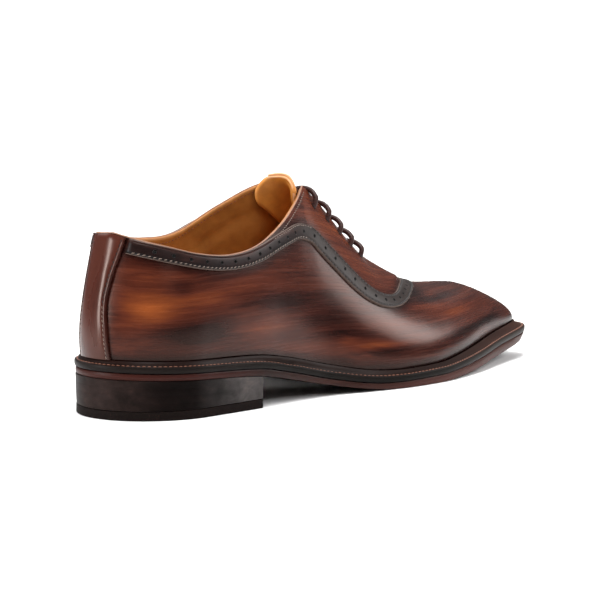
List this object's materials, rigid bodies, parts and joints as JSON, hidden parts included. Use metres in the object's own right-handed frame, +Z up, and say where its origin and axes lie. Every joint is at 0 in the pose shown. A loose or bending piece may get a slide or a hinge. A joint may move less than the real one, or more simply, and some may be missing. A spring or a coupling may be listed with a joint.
{
  "type": "oxford shoe",
  "caption": "Right lace-up dress shoe with a hollow leather upper, a raised punched band round the lacing and collar, a welt and a stacked heel.",
  "frame": {"origin": "on the floor, under the middle of the shoe's bounding box", "axes": "+X towards the toe, +Y towards the inner side of the foot, +Z up"},
  "size_m": [0.3104, 0.1008, 0.1062],
  "materials": {
    "patina_leather": "hand-painted brown, polished",
    "band_leather": "charcoal brown, satin",
    "sole_leather": "dark stained edge, waxed",
    "heel_rubber": "satin",
    "tan_leather": "natural lining leather",
    "lace_cord": "waxed round cord"
  },
  "bodies": {
    "root": {"upper": "patina_leather", "back_strap": "patina_leather", "facing_strip": "band_leather", "tongue": "tan_leather", "insole": "tan_leather", "welt": "sole_leather", "outsole": "sole_leather", "heel_stack": "sole_leather", "heel_top_piece": "heel_rubber", "lace_bar_1": "lace_cord", "lace_bar_2": "lace_cord", "lace_bar_3": "lace_cord", "lace_bar_4": "lace_cord", "lace_bar_5": "lace_cord"}
  },
  "joints": []
}
